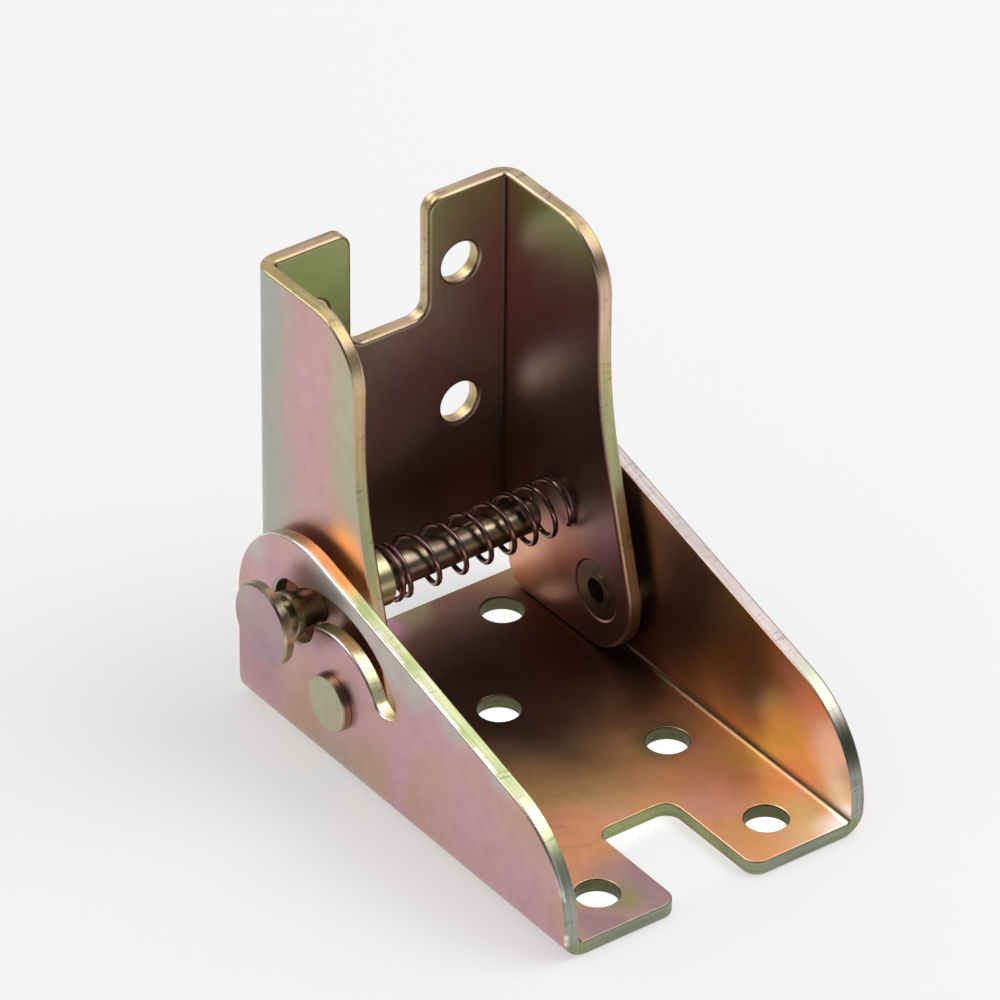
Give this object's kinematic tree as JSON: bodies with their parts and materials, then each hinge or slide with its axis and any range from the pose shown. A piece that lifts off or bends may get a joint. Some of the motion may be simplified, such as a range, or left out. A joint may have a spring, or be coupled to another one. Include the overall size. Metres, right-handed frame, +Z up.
{
  "type": "folding leg hinge",
  "caption": "Folding leg hinge: a folded sheet base and a folded leg bracket on riveted pivots, locked upright by a sprung push button in a keyhole slot.",
  "frame": {"origin": "centre of the base bracket's underside", "axes": "+X towards the base's long front end, -Y towards the button, +Z up along the leg bracket"},
  "size_m": [0.0663, 0.0493, 0.0596],
  "materials": {
    "base_sheet": "yellow zinc, iridescent",
    "leg_sheet": "yellow zinc, iridescent",
    "rivet": "yellow zinc, satin",
    "washer": "yellow zinc, satin",
    "pin": "yellow zinc, satin",
    "collar": "yellow zinc, bright",
    "spring_wire": "dark bronze, drawn wire"
  },
  "bodies": {
    "base": {"base_bracket": "base_sheet"},
    "leg": {"leg_bracket": "leg_sheet", "pivot_rivet_left": "rivet", "pivot_rivet_right": "rivet", "spacer_washer_left": "washer", "spacer_washer_right": "washer", "lock_spring": "spring_wire"},
    "button": {"lock_pin": "pin", "pin_collar": "collar"}
  },
  "joints": [
    {"name": "leg_fold", "type": "hinge", "parent": "base", "child": "leg", "pos_m": [-0.013, 0, 0.0104], "axis": [0, 1, 0], "range_deg": [0, 90]},
    {"name": "button_press", "type": "slide", "parent": "leg", "child": "button", "axis": [0, 1, 0], "range_m": [0, 0.0032], "stiffness_N_per_m": 800, "springref_m": -0.003, "deforming": ["lock_spring"]}
  ]
}
